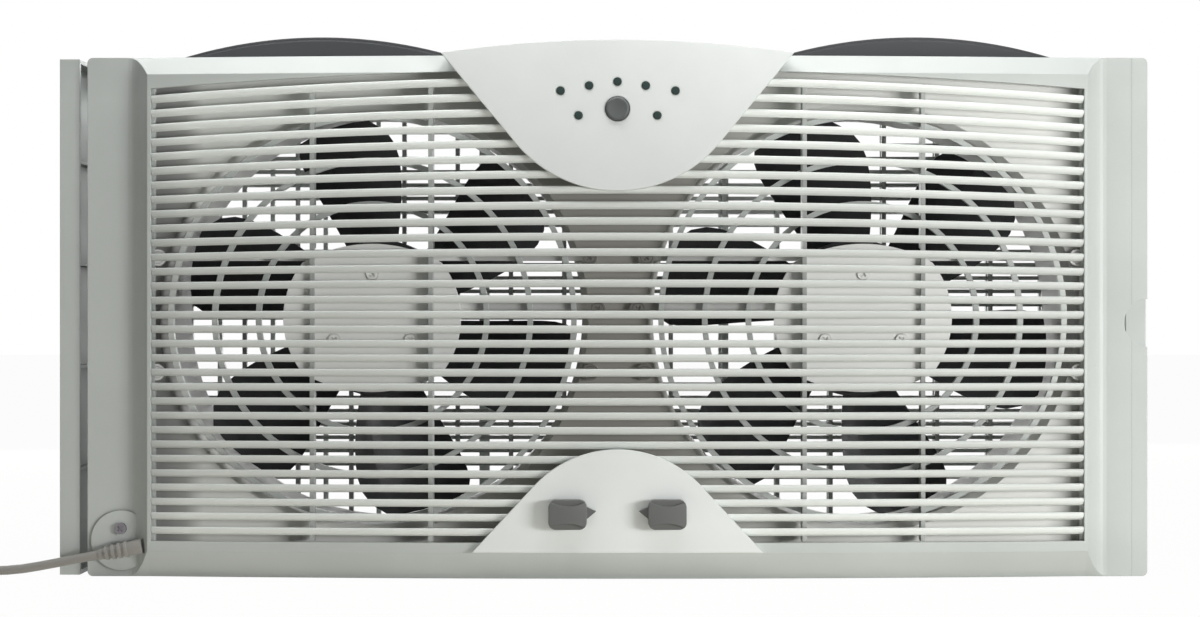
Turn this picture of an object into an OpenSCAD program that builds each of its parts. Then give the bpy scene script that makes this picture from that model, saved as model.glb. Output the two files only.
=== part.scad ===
// Twin window fan: two axial fans in one shallow housing, with an extender panel on each side.
// Millimetres, +Z up, the slatted front faces -Y, X = 0 lies midway between the fans, Z = 0 is the base.

/* [Housing] */
// Width over the flat side borders
body_w = 583; // [560:1:620]
// Height of the housing
body_h = 285; // [283:1:292]
// Depth from the joint line to the front face of the side borders
front_d = 50; // [48:1:56]
// Depth from the joint line to the back plate's rear face
rear_d = 46; // [44:1:52]
// Wall of the moulded housings
wall = 2.4; // [2:0.1:3]
// How far a side border overhangs the side wall
border_lip = 11.6; // [10.8:0.2:14]
// Thickness of the side borders
border_t = 3; // [2.4:0.1:4]

/* [Front grille] */
// Width of a side border, from its outer edge to the window
border_w = 36.5; // [36:0.5:42]
// Width of the sloping rim round the window
rim_w = 12; // [9:0.5:14]
// How far the rim stands proud of the side borders
rim_proud = 8; // [6:0.5:11]
// How far the slats bow forward at the middle
bow = 12; // [8:0.5:16]
// How far the top slot arches up at the middle
crown = 9.5; // [5:0.5:11]
// Height from the top slot to the housing's top, at the ends
top_strip = 19.65; // [19:0.05:24]
// Number of open slots
slot_n = 32; // [20:1:32]
// Height of one slat
slat_h = 4.2; // [3:0.1:4.6]
// Depth of one slat
slat_d = 4; // [3:0.5:4.5]
// Height of the lowest slot's centre at the ends
slot_z0 = 22; // [21:0.5:26]
// Radius of the inner guard ring
ring_r = 62.4; // [56:0.1:66]
// Distance of the outer guard ring inside the duct's bore
ring_in = 4.3; // [3:0.1:8]
// Distance of a grille rib from its fan's axis
rib_x = 32.4; // [26:0.1:38]

/* [Fans] */
// Half the space between the two ducts' bores
duct_gap = 19.5; // [19:0.5:24]
// Space between a duct's bore and the side wall
duct_side = 29; // [28:0.5:34]
// Space between a duct's bore and the housing's top, at least
duct_room = 28; // [28:0.5:34]
// How far the fan axes lie below mid-height
fan_drop = 0.5; // [0:0.1:1]
// Running gap between blade tip and duct
tip_gap = 3.5; // [2:0.1:6]
// Blades on one rotor
blade_n = 6; // [3:1:8]
// Radius of the rotor's hub
hub_r = 44; // [40:0.5:46]
// Pitch angle of a blade at the hub
pitch_hub = 42; // [30:1:46]
// Pitch angle of a blade at the tip
pitch_tip = 24; // [16:1:28]
// Thickness of a blade
blade_t = 2; // [1.4:0.1:3]
// Radius of the motor shaft
shaft_r = 4; // [3:0.1:5]
// Radius of the motor's can
can_r = 35; // [32:0.5:36]
// Radius of the hub cover in front of the motor
cover_r = 48.5; // [46:0.5:50]
// Half height of the hub cover between its flats
cover_flat = 40.5; // [38:0.5:43]

/* [Controls] */
// Radius of the upper panel's round end
upper_r = 71.5; // [66:0.5:74]
// Radius of the lower panel's round end
lower_r = 61.6; // [56:0.5:63]
// How far the panels stand proud of the slats
panel_proud = 3.5; // [2:0.5:6]
// Rise of the upper panel's top edge above the housing
panel_crown = 7; // [3:0.5:9]
// Radius of the push button
button_r = 6.5; // [5:0.1:8]
// Travel of the push button
button_travel = 1.2; // [0.8:0.1:1.8]
// Radius of an indicator lens
lens_r = 2.3; // [1.8:0.1:2.6]
// Width of a direction knob
knob_w = 20.5; // [18:0.5:22]
// Height of a direction knob
knob_h = 16; // [14:0.5:18]
// How far a knob stands off its panel
knob_d = 9; // [7:0.5:12]
// Distance of a knob from the middle
knob_x = 26.8; // [25:0.1:30]

/* [Extenders] */
// Width of an end stile
stile_w = 11; // [9:0.5:14]
// How far the left extender stands out at rest
left_out = 16.2; // [0:0.2:40]
// Number of vertical bars at the back, on each side
bar_n = 8; // [6:1:9]
// Thickness of the extender screens
screen_t = 4; // [3:0.5:5]
// Width of a bar in the screens and the rear grille
bar_w = 2.6; // [2:0.1:3.4]

/* [Handles] */
// Distance of a handle's middle from the shell's side
handle_side = 109.9; // [108:0.1:112]
// Rise of a handle above the housing
handle_rise = 18.2; // [16:0.1:20]
// Depth of a handle, front to back
handle_d = 16; // [12:0.5:20]
// Thickness of a handle at its middle
handle_t = 11; // [9:0.5:12]

/* [Cord] */
// Diameter of the power cord
cord_d = 5; // [4:0.1:5]
// Turns in one layer of the coil
coil_turns = 2.15; // [1.5:0.05:2.15]

/* [Hidden] */
$fn = 64;
fine_fn = 256;

c_body = [0.80, 0.83, 0.81];
c_cover = [0.84, 0.86, 0.84];
c_deck = [0.62, 0.62, 0.58];
c_dark = [0.13, 0.13, 0.14];
c_grip = [0.33, 0.34, 0.35];
c_knob = [0.36, 0.38, 0.38];
c_metal = [0.68, 0.69, 0.70];
c_copper = [0.62, 0.38, 0.22];
c_board = [0.12, 0.36, 0.22];
c_cord = [0.34, 0.33, 0.30];
c_brass = [0.78, 0.66, 0.36];

eps = 0.01;
fit = 0.3;             // clearance between pieces that lie together without touching
play = 0.05;           // radial running clearance of a shaft
shell_w = body_w - 2 * border_lip;
shell_in = shell_w / 2 - wall;
window_w = body_w - 2 * border_w;
fan_gap = shell_in + duct_gap - duct_side;
fan_z = body_h / 2 - fan_drop;
duct_r = min(fan_gap / 2 - duct_gap, body_h / 2 - duct_room);
y_border = -front_d;
y_rim = y_border - rim_proud;
rim_low = 14.6;        // height of the sloping strip below the window
rim_top = 10;          // height of the sloping strip above it
rim_half = window_w / 2 + 2;
bow_r = (rim_half * rim_half + bow * bow) / (2 * bow);
bow_y = y_rim - bow + bow_r;
bow_steps = 32;        // flat steps across the bow
slat_pitch = (body_h - slot_z0 - top_strip) / (slot_n - 1);
slot_h = slat_pitch - slat_h;
slot_top = slot_z0 + (slot_n - 1) * slat_pitch;
window_z0 = slot_z0 - slot_h / 2;
window_z1 = slot_top + slot_h / 2;
grille_rail = 2.8;     // side rails that carry the slat ends, behind the rim's lip
y_rail = y_rim + wall + 1;
rib_w = 2.4;
ring_pitch = (duct_r - ring_in - ring_r) / 2;
ring_d = 3.2;

deck_t = 2.4;
y_deck = -24 - deck_t / 2;
y_pan = y_border;      // front of the deck's forward plate, close behind the slats' ends
duct_len = 50;         // behind the deck's rear plate
mouth = 3.5;           // flare of the ducts' mouths
duct_t = 2.4;
post_r = 4.2;          // screw posts of the deck and the panels
pilot_r = 1.3;
cap_r = 3.2;           // screw heads
cap_h = 2;
screw_r = 1.2;
hole_fit = 0.2;        // clearance of a screw's hole, as a radius

y_cover = y_border - 9; // front of the hub covers
cover_t = 2.2;
cover_arc = 75;        // radius of the hub cover's flattened edges
cup_r = can_r + 3;
foot_at = duct_r + 8.3; // distance of a motor mount's feet from its axis
foot_r = 4.6;
foot_len = 7;          // length of the bosses behind the forward plate
arm_d = 3;
arm_h = 3.6;           // height of the arms, each hidden behind a slat
arm_rows = [for (k = [11, 19]) slot_z0 + (k + 0.5) * slat_pitch - fan_z];
mid_z = 4.9;           // the deeper arm towards the middle
mid_h = 7;
y_arm0 = y_pan - 0.4 - arm_d;
y_motor_screw = y_cover + 1.2;
y_ring = y_arm0 - 0.4 - ring_d;
y_foot_screw = y_arm0 + cap_h + 0.2;

y_can0 = y_cover + cover_t;
can_len = 29;
y_can1 = y_can0 + can_len;
can_t = 1.4;
can_screws = [90, 210, 330];
can_screw_r = 24;
bush_r = 8;
bush_len = 6;
y_hub0 = y_can1 + 3.6;
hub_len = 30;
y_hub1 = y_hub0 + hub_len;
hub_t = 2.2;
tip_r = duct_r - tip_gap;
blade_y = y_hub0 + hub_len / 2;
nut_len = 6;
boss_r = 8;
shaft_end = y_hub1 + nut_len + 2;

// Panels: a round end joined to two straight flanks
upper_z = body_h - 3;
upper_slope = 50.4;
upper_half = 96.5;
lower_z = 9.4;
lower_slope = 47;
lower_half = 79;
lower_base = window_z0 - 5;
panel_lip = 2.5;       // how far a panel's face overhangs the slats round it
pan_gap = 1.5;         // space between the forward plate and the panels
pan_over = 6.5;        // how far the forward plate reaches behind the rim
flank_in = 0.06;        // how far a panel's straight flanks start inside its round end
y_panel = y_border + 2;
panel_wall = 2.4;
panel_back = -10;      // how far back the upper panel's crowned top runs
y_face = y_rim - bow - panel_proud; // front of the panels at the middle
y_inner = y_face + panel_wall;
y_post = y_inner - 1;  // posts start inside the panels' walls

y_led = y_inner + 8.1;  // front of the display board
button_z = body_h - 30.2;
lens_row = [[-30.7, -20.5], [-15.3, -17.7], [0, -15.6], [15.3, -17.7], [31.3, -20.5],
    [-21, -33.8], [21.5, -33.8]];
knob_z = 36.3;
knob_pin_r = 3;
switch_w = 17;
y_switch = y_border - 6;
switch_d = 13;

// Extenders
stile_gap = 0.4;
stile_x = shell_w / 2 + stile_gap;
y_stile0 = y_border + border_t + 0.4;
rail_d = 12;           // depth of the channels behind the back plate
y_back = rear_d + rail_d;
rail_lip = 9;
stile_lift = 0.4;
y_screen = rear_d + (rail_d - wall - screen_t) / 2;
screen_z0 = wall + fit;
screen_z1 = body_h - wall - fit;

// Rear grille
rear_half = fan_gap / 2 + duct_r + 3.5;
rear_mid = fan_gap / 2 - duct_r - 3.5;
rear_z0 = fan_z - duct_r - 4.5;
rear_z1 = fan_z + duct_r + 4.5;
bar_pitch = rear_half / bar_n;
screen_x0 = 2 * bar_pitch;

// Handles
handle_x = shell_w / 2 - handle_side;
handle_r = 272.7;
handle_half = sqrt(2 * handle_r * handle_rise - handle_rise * handle_rise);
handle_y = 2;
well_half = 52;
well_d = 14;
well_y1 = 41;

// Cord
clamp_x = 7.1 - shell_w / 2;
clamp_z = 26.4;
clamp_proud = 1.2;
gland_x = 15.9 - shell_w / 2;
gland_y = -56;
gland_z = 16.4;
gland_len = 20;
gland_in = 3.6;
gland_dip = 11.2;
gland_r0 = 4;
gland_r1 = 2.9;
cord_r = cord_d / 2;
coil_x = gland_x - 108;
coil_step = cord_d + 0.6;
coil_in = 24.2;
coil_out = coil_in + coil_step * coil_turns;
coil_y = gland_y - coil_out;
coil_z = cord_r + 1.2;
layers = 4;
turns = layers * coil_turns;
coil_rings = 24;
tail_r = 24;
tail_deg = 100;
plug_h = 15;
plug_w = 22;
plug_l = 30;
pin_x = 6.35;          // the plug's flat pins
pin_t = 1.5;
pin_h = 6.2;
pin_in = 5;
coil_top = coil_z + (layers - 1) * coil_step + cord_r;
plug_z = coil_top + fit + plug_h / 2;
cord_route = [for (q = [[19.6, 12.5], [24.5, 11.55], [34, 9.7], [44, 7.8], [54, 5.95], [62, 4.7],
    [70, 3.95], [79, 3.7], [89, 3.7], [99, 3.7], [103, 3.7], [108, 3.7]]) [gland_x - q[0], gland_y, q[1]]];

// ---------- helpers ----------

// Extrudes a drawing of the X-Z plane along Y, from y0 to y1
module along_y(y0, y1) {
    translate([0, y1, 0]) rotate([90, 0, 0]) linear_extrude(height = y1 - y0) children();
}

// A straight round bar or bore along Y
module y_cyl(r, y0, y1, x = 0, z = 0) {
    translate([x, y1, z]) rotate([90, 0, 0]) cylinder(r = r, h = y1 - y0);
}

// A cone along Y, with radius r0 at y0 and r1 at y1
module y_cone(r0, r1, y0, y1) {
    translate([0, y1, 0]) rotate([90, 0, 0]) cylinder(r1 = r1, r2 = r0, h = y1 - y0);
}

module block(x0, x1, y0, y1, z0, z1) {
    translate([x0, y0, z0]) cube([x1 - x0, y1 - y0, z1 - z0]);
}

// Rectangle centred in X, from z0 to z1, with round corners
module round_box_2d(half, z0, z1, r) {
    translate([-half + r, z0]) square([2 * (half - r), z1 - z0]);
    translate([-half, z0 + r]) square([2 * half, z1 - z0 - 2 * r]);
    for (sx = [-1, 1]) for (z = [z0 + r, z1 - r]) translate([sx * (half - r), z]) circle(r);
}

// Front of the bow at distance x from the middle
function bow_front(x) = bow_y - sqrt(bow_r * bow_r - x * x);

// A band of the bowed front in flat steps: section(x) lists its [y, z] corners, clockwise seen along +X
module bowed(half, sections) {
    n = len(sections[0]);
    m = len(sections) - 1;
    pts = [for (i = [0:m]) for (q = sections[i]) [half * (2 * i / m - 1), q[0], q[1]]];
    sides = [for (i = [0:m - 1]) for (k = [0:n - 1]) let (l = (k + 1) % n)
        [i * n + k, i * n + l, (i + 1) * n + l, (i + 1) * n + k]];
    first = [[for (k = [n - 1:-1:0]) k]];
    last = [[for (k = [0:n - 1]) m * n + k]];
    polyhedron(points = pts, faces = concat(sides, first, last), convexity = 4);
}

// Rise of the front's arched lines at the middle, for a line at height z at the ends
function crown_at(z) = crown * max(0, (z - fan_z) / (slot_top - fan_z));

// Screw along +Y with its head in front: tip at y1
module screw_fwd(x, z, y0, y1) {
    y_cyl(screw_r, y0, y1, x, z);
    difference() {
        y_cyl(cap_r, y0 - cap_h, y0, x, z);
        translate([x, y0 - cap_h, z]) for (a = [45, 135]) rotate([0, a, 0])
            cube([3.6, 1.6, 0.9], center = true);
    }
}

// Screw along -Y with its head behind
module screw_back(x, z, y0, y1) {
    y_cyl(screw_r, y0, y1, x, z);
    difference() {
        y_cyl(cap_r, y1, y1 + cap_h, x, z);
        translate([x, y1 + cap_h, z]) for (a = [45, 135]) rotate([0, a, 0])
            cube([3.6, 1.6, 0.9], center = true);
    }
}

// Tube with a many-sided section swept along points
function unit(v) = v / norm(v);
function tangent(p, i) = unit(p[min(i + 1, len(p) - 1)] - p[max(i - 1, 0)]);
function side(t) = unit(cross(t, [0, 0, 1]));
function ring(c, t, r, n) = let (a = side(t), b = cross(a, t))
    [for (k = [0:n - 1]) c + r * (cos(360 * k / n) * a + sin(360 * k / n) * b)];

module tube(p, r, n) {
    m = len(p);
    pts = [for (i = [0:m - 1]) each ring(p[i], tangent(p, i), r, n)];
    sides = [for (i = [0:m - 2]) for (k = [0:n - 1]) each let (l = (k + 1) % n)
        [[i * n + k, (i + 1) * n + k, (i + 1) * n + l], [i * n + k, (i + 1) * n + l, i * n + l]]];
    first = [for (k = [1:n - 2]) [0, k, k + 1]];
    last = [for (k = [1:n - 2]) [(m - 1) * n, (m - 1) * n + k + 1, (m - 1) * n + k]];
    polyhedron(points = pts, faces = concat(sides, first, last), convexity = 8);
}

// ---------- front ----------

// Section of the rim at x, inset by t from the outer surface
function rim_section(x, t) = let (y = bow_front(x), y1 = y_border + 12)
    [[y1, t], [y + rim_proud, t], [y + t, rim_low + t / 2], [y + t, body_h - rim_top - t / 2],
    [y + rim_proud, body_h - t], [y1, body_h - t]];

// Raised rim: bowed top and bottom strips, and a hollow slope at each end
cove_steps = 6;
module rim(t) {
    half = rim_half - t / 2;
    bowed(half, [for (i = [0:bow_steps]) rim_section(half * (2 * i / bow_steps - 1), t)]);
    for (s = [0, 1]) mirror([s, 0, 0]) intersection() {
        linear_extrude(height = body_h)
            polygon(concat([[rim_half - t / 2 - eps, y_rim + t]],
                [for (i = [0:cove_steps]) let (u = i / cove_steps, f = 1 - (1 - u) * (1 - u))
                    [rim_half - t / 2 + rim_w * u, y_rim + t + (rim_proud - t / 2) * f]],
                [[rim_half + rim_w - t / 2, y_border + 2 + t], [rim_half - t / 2 - eps, y_border + 2 + t]]));
        rotate([90, 0, 90]) linear_extrude(height = body_w)
            polygon([[y_border + 5, t], [y_border, t], [y_rim + t, rim_low + t / 2],
                [y_rim + t, body_h - rim_top - t / 2], [y_border, body_h - t], [y_border + 5, body_h - t]]);
    }
}

// Outline of the slatted window, with its arched top edge, grown by g
module window_2d(g) {
    half = window_w / 2 + g;
    polygon(concat([[-half, window_z0 - g]], [[half, window_z0 - g]],
        [for (x = [half:-half / 12:-half - 1]) [x, window_z1 + g + crown * (1 - x * x / (half * half))]]));
}

// Outline of the upper panel, its flanks grown by g and its crowned top by up
module upper_2d(g, up) {
    a = 90 - upper_slope;
    r = upper_r + g;
    q = r - flank_in;
    dx = upper_half - upper_r * cos(a) + 12;
    half = upper_half + 12 + g;
    intersection() {
        union() {
            translate([0, upper_z]) circle(r);
            polygon([[-q * cos(a), upper_z - q * sin(a)], [q * cos(a), upper_z - q * sin(a)],
                [q * cos(a) + dx, upper_z - q * sin(a) + dx * tan(upper_slope)],
                [-q * cos(a) - dx, upper_z - q * sin(a) + dx * tan(upper_slope)]]);
        }
        polygon(concat([[-half, 0]], [[half, 0]], [for (x = [half:-half / 14:-half - 1])
            [x, body_h + up + panel_crown * (1 - x * x / (upper_half * upper_half))]]));
    }
}

module lower_2d(g) {
    a = 90 - lower_slope;
    r = lower_r + g;
    q = r - flank_in;
    dx = lower_half - lower_r * cos(a) + 6;
    intersection() {
        union() {
            translate([0, lower_z]) circle(r);
            polygon([[-q * cos(a), lower_z + q * sin(a)], [q * cos(a), lower_z + q * sin(a)],
                [q * cos(a) + dx, lower_z + q * sin(a) - dx * tan(lower_slope)],
                [-q * cos(a) - dx, lower_z + q * sin(a) - dx * tan(lower_slope)]]);
        }
        translate([-body_w / 2, lower_base - g]) square([body_w, body_h]);
    }
}

joint_post = 20;       // length of the posts that take the housing screws
deck_posts = [for (sx = [-1, 1]) for (z = [14, fan_z, body_h - 14]) [sx * (shell_w / 2 - 6), z]];

module front_housing() color(c_body) {
    difference() {
        union() {
            along_y(y_border, y_border + border_t) round_box_2d(body_w / 2, 0, body_h, 3);
            along_y(y_border, 0) round_box_2d(shell_w / 2, 0, body_h, 3);
            rim(0);
            clamp_boss();
        }
        along_y(y_border + border_t, eps) round_box_2d(shell_w / 2 - wall, wall, body_h - wall, 2);
        rim(wall);
        along_y(y_rim - bow - 1, y_border + border_t + eps) window_2d(0);
        along_y(y_rim - bow - 1, y_border + border_t + eps) lower_2d(fit - panel_lip);
        along_y(y_rim - bow - 9, panel_back + fit) upper_2d(fit - panel_lip, 2);
        finger_notch();
        border_relief();
        gland_hole();
        y_cyl(pilot_r, y_border - 3, y_border + border_t + 1, clamp_x, clamp_z);
    }
    difference() {
        y_cyl(3.4, y_border + border_t - eps, y_border + 10, clamp_x, clamp_z);
        y_cyl(pilot_r, y_border, y_border + 11, clamp_x, clamp_z);
    }
    for (p = deck_posts) difference() {
        y_cyl(post_r, y_border + border_t - eps, y_deck, p[0], p[1]);
        y_cyl(pilot_r, y_deck - 12, y_deck + 1, p[0], p[1]);
    }
    for (p = rear_posts) difference() {
        union() {
            y_cyl(post_r, -joint_post, 0, p[0], p[1]);
            block(min(p[0], sign(p[0]) * (shell_w / 2 - 1)), max(p[0], sign(p[0]) * (shell_w / 2 - 1)),
                -joint_post, 0, p[1] - 1.2, p[1] + 1.2);
        }
        y_cyl(pilot_r, -joint_post - 1, 1, p[0], p[1]);
    }
}

// Round boss beside the cord's exit, on the lower left corner
module clamp_boss() {
    intersection() {
        y_cyl(16.5, y_border - clamp_proud, y_border + 1, clamp_x, clamp_z - 6.6);
        along_y(y_border - 3, y_border + 2) round_box_2d(body_w / 2, 0, body_h, 3);
    }
}

// Half-round notch for a finger in the right border
module finger_notch() {
    y_cyl(13.2, y_border - 1, y_border + border_t + eps, body_w / 2 + 0.3, fan_z - 2.8);
}

// Outer strip of the right border, a little lower than the rest
module border_relief() {
    block(body_w / 2 - 9.1, body_w / 2 + 1, y_border - 1, y_border + 0.4, -1, body_h + 1);
}

module gland_hole() {
    translate([gland_x, gland_y, gland_z]) rotate([0, -90 - gland_dip, 0])
        translate([0, 0, -gland_in - 1.4]) cylinder(r = gland_r0 + fit, h = gland_in + 7.4);
}

// One slat: an arc tilted about its chord, so that its middle bows forward and arches up
module slat(z) {
    c = crown_at(z);
    half = window_w / 2 - 0.2;
    s = sqrt(bow * bow + c * c);
    tilt = atan(c / bow);
    r = (half * half + s * s) / (2 * s);
    sweep = asin(half / r);
    translate([0, y_rim, z]) rotate([-tilt, 0, 0]) translate([0, r - s, 0]) rotate([0, 0, 270 - sweep])
        rotate_extrude(angle = 2 * sweep, $fn = fine_fn) translate([r, 0]) rotate(-tilt)
            polygon([[0, 0.3], [0, slat_h / 2 - 0.6], [-0.6, slat_h / 2], [-slat_d, slat_h / 2 - 0.4],
                [-slat_d, -slat_h / 2 + 0.4], [-2, -slat_h / 2], [-0.6, -1]]);
}

module guard_rings(x) {
    for (k = [0:2]) translate([x, y_ring + ring_d, fan_z]) rotate([90, 0, 0]) rotate_extrude(convexity = 4)
        translate([ring_r + k * ring_pitch - 1.5, 0]) square([3, ring_d]);
}

module front_grille() color(c_body) {
    difference() {
        union() {
            for (k = [0:slot_n - 2]) slat(slot_z0 + (k + 0.5) * slat_pitch);
            for (sx = [-1, 1]) {
                mirror([sx > 0 ? 0 : 1, 0, 0])
                    block(window_w / 2 - 1.5, window_w / 2 - 1.5 + grille_rail, y_rail, y_border - 0.5,
                        window_z0 - 2, window_z1 + 2);
                for (o = [-1, 1]) {
                    x = sx * fan_gap / 2 + o * rib_x;
                    block(x - rib_w / 2, x + rib_w / 2, bow_front(x) + slat_d - 1.2, y_ring + ring_d,
                        window_z0 + 0.2, window_z1 + 2);
                }
                guard_rings(sx * fan_gap / 2);
            }
        }
        for (sx = [-1, 1]) y_cyl(cover_r + 1, y_cover - fit, y_border + 1, sx * fan_gap / 2, fan_z);
        along_y(y_rim - bow - 9, y_border + 1) upper_2d(2 * fit - panel_lip, 2);
        along_y(y_rim - bow - 9, y_border + 1) lower_2d(2 * fit - panel_lip);
        for (s = [-1, 1]) for (p = foot_spots(s))
            y_cyl(foot_r + 0.6, y_arm0 - 0.4, y_border + 1, s * fan_gap / 2 + p[0], fan_z + p[1]);
    }
}

// ---------- controls ----------

// Everything behind a panel face that follows the bow, proud of the slats by p
module bow_body(p) {
    half = upper_half + 16;
    translate([0, 0, -20]) linear_extrude(height = body_h + 60)
        polygon(concat([[half, 0]], [[-half, 0]], [for (i = [0:bow_steps])
            let (x = half * (2 * i / bow_steps - 1)) [x, bow_front(x) - p]]));
}

// The part of a drawing's extrusion that lies in front of the slats
module face_band() {
    difference() {
        along_y(y_rim - bow - 12, y_border) children();
        bow_body(fit);
    }
}

upper_posts = [[-46, body_h - 12], [46, body_h - 12], [0, body_h - 58]];

module upper_panel() color(c_cover) {
    difference() {
        intersection() {
            union() {
                along_y(y_rim - bow - 12, panel_back) upper_2d(-panel_lip, 0);
                face_band() upper_2d(0, 0);
            }
            bow_body(panel_proud);
        }
        intersection() {
            along_y(y_rim - bow - 12, panel_back + 1) upper_2d(-panel_lip - panel_wall, -panel_wall);
            bow_body(panel_proud - panel_wall);
        }
        block(-body_w / 2, body_w / 2, y_panel, panel_back + 1, 0, body_h - wall - fit);
        y_cyl(button_r + fit, y_rim - bow - 12, y_border, 0, button_z);
        for (p = lens_row) y_cyl(lens_r, y_rim - bow - 12, y_border, p[0], body_h + p[1]);
    }
    panel_posts(upper_posts);
}

module panel_posts(list) {
    for (p = list) difference() {
        y_cyl(post_r, y_post, y_deck, p[0], p[1]);
        y_cyl(pilot_r, y_deck - 12, y_deck + 1, p[0], p[1]);
    }
}

module indicator_lenses() color([0.16, 0.2, 0.18]) {
    for (p = lens_row) {
        y = bow_y - sqrt((bow_r + panel_proud) * (bow_r + panel_proud) - p[0] * p[0]);
        intersection() {
            y_cyl(lens_r, y - 0.8, y_led, p[0], body_h + p[1]);
            translate([p[0], y + 5.2, body_h + p[1]]) sphere(r = 6);
        }
        y_cyl(lens_r, y + 1.2, y_led, p[0], body_h + p[1]);
    }
}

button_face = y_face - 1.6;

module power_button() color(c_knob) {
    difference() {
        union() {
            y_cyl(button_r, button_face + 1, y_led - button_travel - 1.6, 0, button_z);
            translate([0, 0, button_z]) y_cone(button_r - 0.9, button_r, button_face, button_face + 1);
        }
        translate([0, button_face - 24.5, button_z]) sphere(r = 25);
    }
}

module display_board() {
    color(c_board) difference() {
        block(-40, 40, y_led, y_led + 1.6, body_h - 40, body_h - 7);
        for (sx = [-1, 1]) y_cyl(1.5, y_led - 1, y_led + 3, sx * 36, body_h - 36);
    }
    color(c_dark) block(-3.5, 3.5, y_led - 1.4, y_led, button_z - 3.5, button_z + 3.5);
    color(c_dark) block(-14, 14, y_led + 1.6, y_led + 5, body_h - 26, body_h - 12);
    color(c_body) for (sx = [-1, 1]) difference() {
        y_cyl(3, y_inner + 0.5, y_led, sx * 36, body_h - 36);
        y_cyl(pilot_r, y_led - 4, y_led + 1, sx * 36, body_h - 36);
    }
}

lower_posts = [[-58, 26], [58, 26], [0, 58]];

module lower_panel() color(c_cover) {
    difference() {
        intersection() {
            union() {
                along_y(y_rim - bow - 12, y_panel) lower_2d(-panel_lip);
                face_band() lower_2d(0);
            }
            bow_body(panel_proud);
        }
        intersection() {
            along_y(y_rim - bow - 12, y_panel + 1) lower_2d(-panel_lip - panel_wall);
            bow_body(panel_proud - panel_wall);
        }
        for (sx = [-1, 1]) y_cyl(knob_pin_r + 0.4, y_rim - bow - 12, y_border, sx * knob_x, knob_z);
    }
    panel_posts(lower_posts);
}

// Direction knob with a pointer nib towards the middle
module knob(s) {
    x = s * knob_x;
    face = bow_y - sqrt((bow_r + panel_proud) * (bow_r + panel_proud) - x * x);
    y0 = face - knob_d;
    translate([x, 0, knob_z]) {
        difference() {
            union() {
                intersection() {
                    along_y(y0, face - 0.5) round_box_2d(knob_w / 2, -knob_h / 2, knob_h / 2, 4);
                    translate([0, y0 + 60, 0]) sphere(r = 60, $fn = 128);
                }
                along_y(face - 3, face - 0.5)
                    polygon([[-s * (knob_w / 2 - 1), -3.4], [-s * (knob_w / 2 + 5), 1.6],
                        [-s * (knob_w / 2 - 1), 4.4]]);
                y_cyl(knob_pin_r, face - 1, y_switch + 9, 0, 0);
            }
            for (o = [-1, 1]) y_cyl(20, y0 - 6, y0 + 2.4, 0, o * 24.6);
        }
    }
}

module knob_left() color(c_knob) knob(-1);
module knob_right() color(c_knob) knob(1);

module rotary_switches() {
    for (sx = [-1, 1]) translate([sx * knob_x, 0, knob_z]) {
        color(c_dark) difference() {
            along_y(y_switch, y_switch + switch_d) round_box_2d(switch_w / 2, -switch_w / 2, switch_w / 2, 2);
            y_cyl(knob_pin_r + play, y_switch - 1, y_switch + 9.4, 0, 0);
        }
        color(c_body) for (o = [-1, 1]) y_cyl(2.2, y_inner + fit, y_switch, o * 6, o * 6);
        color(c_metal) for (k = [-1:1]) block(k * 5 - 0.5, k * 5 + 0.5, y_switch + switch_d,
            y_switch + switch_d + 4, -5, -1);
    }
}

board_half = 42;
board_z0 = 5;
board_z1 = 46;
board_t = 1.6;
y_board = y_deck - 8;
part_d = 9;
board_posts = [for (sx = [-1, 1]) for (z = [board_z0 + 5, board_z1 - 6]) [sx * (board_half - 6), z]];

module power_board() {
    color(c_board) difference() {
        block(-board_half, board_half, y_board, y_board + board_t, board_z0, board_z1);
        for (p = board_posts) y_cyl(1.5, y_board - 1, y_board + board_t + 1, p[0], p[1]);
    }
    color(c_dark) block(10 - board_half, 30 - board_half, y_board - part_d, y_board,
        board_z0 + 3, board_z0 + 17);
    color(c_dark) block(-8, 6, y_board - part_d, y_board, board_z0 + 7, board_z0 + 21);
    color(c_metal) y_cyl(5, y_board - part_d - 5, y_board, 17, board_z0 + 11);
}

// ---------- air path ----------

module air_deck() color(c_deck) {
    difference() {
        union() {
            block(-shell_in + fit, shell_in - fit, y_deck, y_deck + deck_t, wall + fit, body_h - wall - fit);
            along_y(y_pan, y_pan + deck_t) difference() {
                window_2d(pan_over);
                upper_2d(pan_gap - panel_lip, 2);
                lower_2d(pan_gap - panel_lip);
            }
            for (sx = [-1, 1]) {
                y_cyl(duct_r + duct_t, y_pan, y_deck + duct_len, sx * fan_gap / 2, fan_z);
                translate([sx * fan_gap / 2, 0, fan_z])
                    y_cone(duct_r + mouth + 2, duct_r + duct_t, y_pan, y_pan + 8);
                for (p = foot_spots(sx))
                    y_cyl(foot_r, y_pan + 1, y_pan + deck_t + foot_len, sx * fan_gap / 2 + p[0],
                        fan_z + p[1]);
            }
        }
        for (sx = [-1, 1]) {
            y_cyl(duct_r, y_pan - 1, y_deck + duct_len + 1, sx * fan_gap / 2, fan_z);
            translate([sx * fan_gap / 2, 0, fan_z]) y_cone(duct_r + mouth, duct_r, y_pan - eps, y_pan + 5);
            for (p = foot_spots(sx))
                y_cyl(pilot_r, y_pan - 1, y_pan + foot_len + 1, sx * fan_gap / 2 + p[0], fan_z + p[1]);
        }
        for (p = concat(deck_posts, upper_posts, lower_posts))
            y_cyl(screw_r + hole_fit, y_deck - 1, y_deck + deck_t + 1, p[0], p[1]);
    }
    for (p = board_posts) difference() {
        y_cyl(3, y_board + board_t, y_deck + eps, p[0], p[1]);
        y_cyl(pilot_r, y_board, y_deck - 1, p[0], p[1]);
    }
}

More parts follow.
